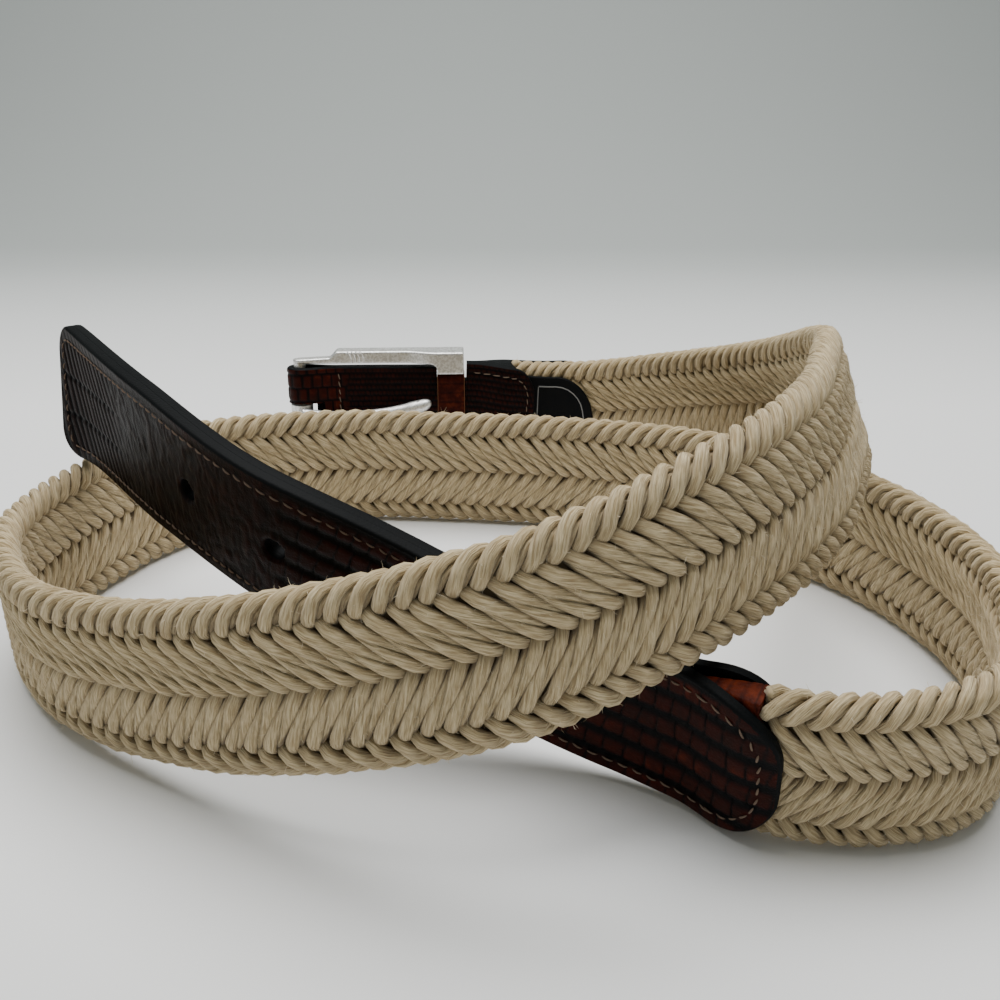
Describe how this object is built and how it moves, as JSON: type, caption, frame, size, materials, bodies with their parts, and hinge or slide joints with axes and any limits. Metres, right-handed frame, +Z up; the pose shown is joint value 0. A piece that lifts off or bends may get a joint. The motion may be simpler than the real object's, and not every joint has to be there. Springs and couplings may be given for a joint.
{
  "type": "rope belt",
  "caption": "Flat braided rope belt with leather ends, a steel prong buckle and a punched leather tip, standing on edge in a loose coil.",
  "frame": {"origin": "middle of the coil's box, on the surface that it stands on", "axes": "+Z up across the belt's width, +X to the right as the picture shows it, +Y away from the picture's camera"},
  "size_m": [0.216, 0.2148, 0.0749],
  "materials": {
    "cotton": "matt braided cotton cord, cream",
    "brown_leather": "glossy embossed leather, dark brown, black painted edges",
    "black_leather": "smooth black lining leather",
    "tan_leather": "glossy reddish brown leather",
    "steel": "satin brushed steel"
  },
  "bodies": {
    "belt": {"rope_band": "cotton", "tip_strap": "brown_leather", "tip_lining": "black_leather", "tip_filler": "tan_leather", "buckle_tab": "brown_leather", "buckle_lining": "black_leather", "keeper": "tan_leather"},
    "buckle": {"buckle_frame": "steel"},
    "tongue": {"prong": "steel"}
  },
  "joints": [
    {"name": "buckle_swing", "type": "hinge", "parent": "belt", "child": "buckle", "pos_m": [-0.06254, 0.09506, 0.02027], "axis": [0, 0, 1], "range_deg": [0, 175]},
    {"name": "prong_swing", "type": "hinge", "parent": "belt", "child": "tongue", "pos_m": [-0.06254, 0.09506, 0.02027], "axis": [0, 0, -1], "range_deg": [0, 150]}
  ]
}
